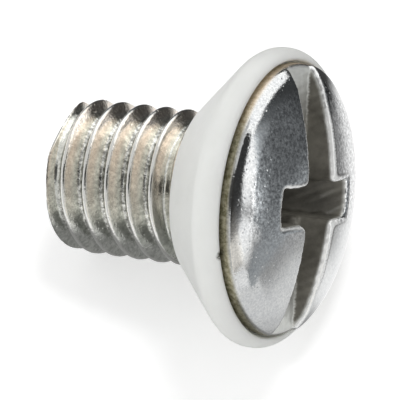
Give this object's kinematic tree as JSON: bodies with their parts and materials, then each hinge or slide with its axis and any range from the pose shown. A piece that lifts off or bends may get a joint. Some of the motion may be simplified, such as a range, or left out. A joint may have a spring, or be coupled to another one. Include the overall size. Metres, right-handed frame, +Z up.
{
  "type": "seal screw",
  "caption": "Raised countersunk machine screw with a combined slot and cross recess, and a conical white plastic ring under its head that seals the hole it closes.",
  "frame": {"origin": "on the surface the screw lies on, under the middle of its box", "axes": "+Z up; the screw lies on its side with its axis in the XZ plane, head towards +X and raised by the ring's rim"},
  "size_m": [0.0096, 0.0096, 0.0092],
  "materials": {
    "plated_steel": "bright plated cold-formed steel, slightly pitted",
    "white_plastic": "satin white moulded plastic, faintly translucent"
  },
  "bodies": {
    "root": {"screw": "plated_steel", "seal_ring": "white_plastic"}
  },
  "joints": []
}
